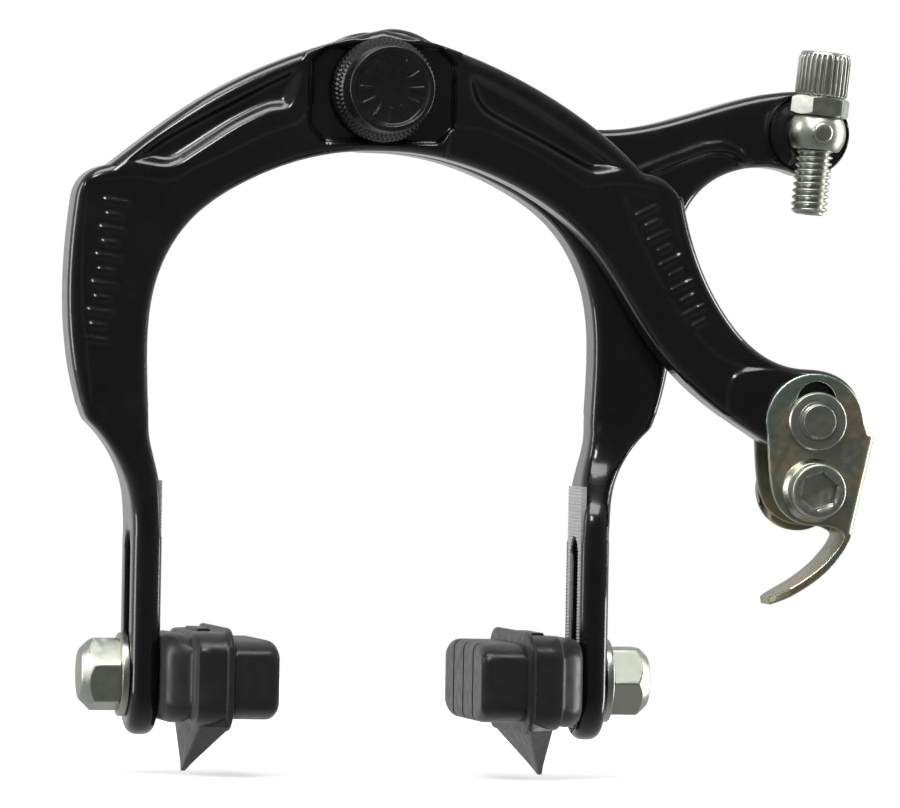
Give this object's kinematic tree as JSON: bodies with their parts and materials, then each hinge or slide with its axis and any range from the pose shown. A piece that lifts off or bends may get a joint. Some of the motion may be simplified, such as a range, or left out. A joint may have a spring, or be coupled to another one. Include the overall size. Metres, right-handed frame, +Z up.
{
  "type": "rim brake caliper",
  "caption": "Side-pull rim brake caliper: two arched arms on a centre bolt, with shoes on slotted legs, a barrel adjuster and a quick release.",
  "frame": {"origin": "where the centre bolt's axis meets the front face of the fork, which is the rear face of the toothed washer", "axes": "+Z up towards the crown, +Y back through the fork along the centre bolt, +X towards the cable side"},
  "size_m": [0.1241, 0.0725, 0.1135],
  "materials": {
    "arm_paint": "gloss black paint over forged aluminium",
    "bolt_steel": "bright zinc plate",
    "washer_steel": "bright zinc plate",
    "spring_steel": "black oxide spring wire",
    "seat_alloy": "black",
    "cap_plastic": "semi-gloss black moulding",
    "pad_rubber": "moulded, dull black",
    "post_steel": "zinc plate",
    "nut_zinc": "bright zinc plate with a pale green cast",
    "bracket_zinc": "yellow-green passivated zinc plate",
    "pin_steel": "turned, zinc plate",
    "trunnion_black": "black oxide",
    "adjuster_steel": "zinc plate"
  },
  "bodies": {
    "core": {"centre_bolt": "bolt_steel", "fork_washer": "bolt_steel", "spring_seat": "seat_alloy", "return_spring": "spring_steel", "rear_washer": "washer_steel", "middle_washer": "washer_steel", "front_washer": "washer_steel", "adjusting_nut": "bolt_steel", "lock_nut": "bolt_steel", "dust_cap": "cap_plastic"},
    "front_arm": {"front_arm": "arm_paint"},
    "rear_arm": {"rear_arm": "arm_paint"},
    "left_clamp": {"left_shoe_washer": "washer_steel", "left_cap_nut": "nut_zinc"},
    "left_shoe": {"left_brake_pad": "pad_rubber", "left_pad_post": "post_steel"},
    "right_clamp": {"right_shoe_washer": "washer_steel", "right_cap_nut": "nut_zinc"},
    "right_shoe": {"right_brake_pad": "pad_rubber", "right_pad_post": "post_steel"},
    "release_pin": {"release_pin": "pin_steel"},
    "release_lever": {"release_bracket": "bracket_zinc", "anchor_bolt": "bracket_zinc", "anchor_washer": "bracket_zinc", "clamp_washer": "bracket_zinc", "anchor_nut": "bracket_zinc"},
    "trunnion": {"trunnion": "trunnion_black", "trunnion_clip": "nut_zinc", "adjuster_lock_nut": "nut_zinc"},
    "adjuster_stem": {"adjuster_stem": "adjuster_steel"},
    "adjuster_barrel": {"adjuster_barrel": "adjuster_steel"},
    "mounting_hardware": {"saddle_washer": "bolt_steel", "mounting_washer": "bolt_steel", "mounting_nut": "bolt_steel"}
  },
  "joints": [
    {"name": "front_arm_pivot", "type": "hinge", "parent": "core", "child": "front_arm", "pos_m": [0, -0.0245, 0], "axis": [0, -1, 0], "range_deg": [0, 8], "stiffness_Nm_per_rad": 1, "springref_deg": -28.65, "deforming": ["return_spring"]},
    {"name": "rear_arm_pivot", "type": "hinge", "parent": "core", "child": "rear_arm", "pos_m": [0, -0.0145, 0], "axis": [0, 1, 0], "range_deg": [0, 8], "stiffness_Nm_per_rad": 1, "springref_deg": -28.65, "deforming": ["return_spring"]},
    {"name": "left_shoe_height", "type": "slide", "parent": "front_arm", "child": "left_clamp", "axis": [0, 0, 1], "range_m": [-0.001, 0.016]},
    {"name": "left_shoe_turn", "type": "hinge", "parent": "left_clamp", "child": "left_shoe", "pos_m": [-0.03435, -0.0195, -0.0892], "axis": [1, 0, 0], "range_deg": [-15, 15]},
    {"name": "right_shoe_height", "type": "slide", "parent": "rear_arm", "child": "right_clamp", "axis": [0, 0, 1], "range_m": [-0.001, 0.016]},
    {"name": "right_shoe_turn", "type": "hinge", "parent": "right_clamp", "child": "right_shoe", "pos_m": [0.03435, -0.0195, -0.0892], "axis": [1, 0, 0], "range_deg": [-15, 15]},
    {"name": "release_swing", "type": "hinge", "parent": "front_arm", "child": "release_pin", "pos_m": [0.0674, -0.0245, -0.049], "axis": [0, -1, 0], "range_deg": [0, 100]},
    {"name": "release_slide", "type": "slide", "parent": "release_pin", "child": "release_lever", "axis": [0, 0, -1], "range_m": [0, 0.0031]},
    {"name": "trunnion_swivel", "type": "hinge", "parent": "rear_arm", "child": "trunnion", "pos_m": [0.0679, -0.0145, -0.005], "axis": [0, 1, 0], "range_deg": [-15, 15]},
    {"name": "adjuster_rise", "type": "slide", "parent": "trunnion", "child": "adjuster_stem", "axis": [0.0941, 0, 0.9956], "range_m": [0, 0.008]},
    {"name": "adjuster_turn", "type": "hinge", "parent": "adjuster_stem", "child": "adjuster_barrel", "pos_m": [0.06875, -0.0243, 0.00396], "axis": [0.0941, 0, 0.9956], "range_deg": [0, 2880]},
    {"name": "mounting_hardware_off", "type": "slide", "parent": "core", "child": "mounting_hardware", "axis": [0, 1, 0], "range_m": [0, 0.04]}
  ],
  "couplings": [
    {"joint": "rear_arm_pivot", "follows": "front_arm_pivot", "ratio": 1},
    {"joint": "adjuster_turn", "follows": "adjuster_rise", "rad_per_m": 6283.2}
  ]
}
